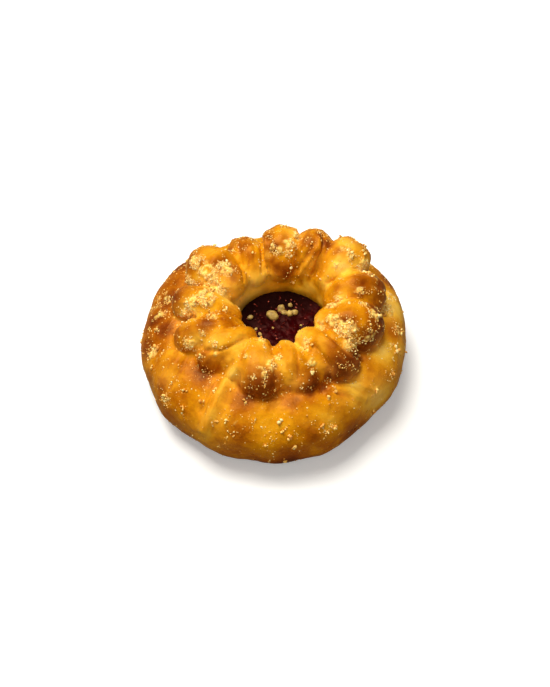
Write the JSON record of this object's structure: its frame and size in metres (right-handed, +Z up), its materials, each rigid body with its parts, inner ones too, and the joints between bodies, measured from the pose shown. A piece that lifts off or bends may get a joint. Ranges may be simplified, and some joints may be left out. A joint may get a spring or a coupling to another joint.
{
  "type": "raspberry sweet bun",
  "caption": "Round golden sweet bun: a low cushion of baked dough with a crimped knobbly ring on top, a well of dark raspberry jam in its middle and pale crumbs on the crust.",
  "frame": {"origin": "middle of the flat underside that the bun rests on", "axes": "+Z up through the jam well; -Y is the side that the picture shows nearest, +X is its right"},
  "size_m": [0.1175, 0.1135, 0.0543],
  "materials": {
    "dough": "golden baked crust with an egg-wash sheen, browned on the knobs, with cream crumbs",
    "jam": "wet, dark raspberry red, lumpy with seeds"
  },
  "bodies": {
    "root": {"bun_dough": "dough", "raspberry_jam": "jam"}
  },
  "joints": []
}
